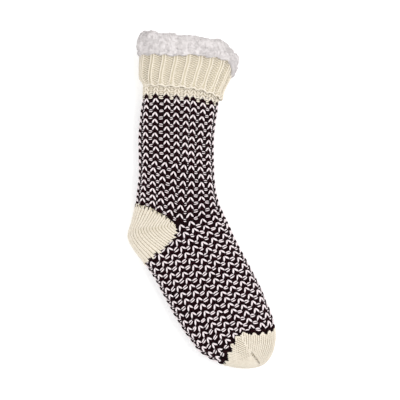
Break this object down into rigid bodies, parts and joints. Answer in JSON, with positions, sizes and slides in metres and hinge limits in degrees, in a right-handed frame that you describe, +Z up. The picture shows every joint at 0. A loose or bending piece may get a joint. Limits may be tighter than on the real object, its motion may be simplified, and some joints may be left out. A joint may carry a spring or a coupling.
{
  "type": "sherpa-lined slipper sock",
  "caption": "Chunky knitted slipper sock lying on its side, with plain heel and toe, a folded rib cuff and a roll of sherpa pile at the top.",
  "frame": {"origin": "on the floor under the ankle, where the straight part of the leg's centreline ends", "axes": "+Z up from the floor the sock lies on, +Y up the leg towards the collar, +X towards the shin and the toes"},
  "size_m": [0.1859, 0.4273, 0.0681],
  "materials": {
    "patterned_knit": "chunky knit in white and very dark red yarn",
    "cream_knit": "matt plain and rib knit",
    "sherpa_pile": "curly white pile"
  },
  "bodies": {
    "root": {"knit_leg_and_foot": "patterned_knit", "heel_pocket": "cream_knit", "toe_cap": "cream_knit", "rib_cuff": "cream_knit", "sherpa_collar": "sherpa_pile"}
  },
  "joints": []
}
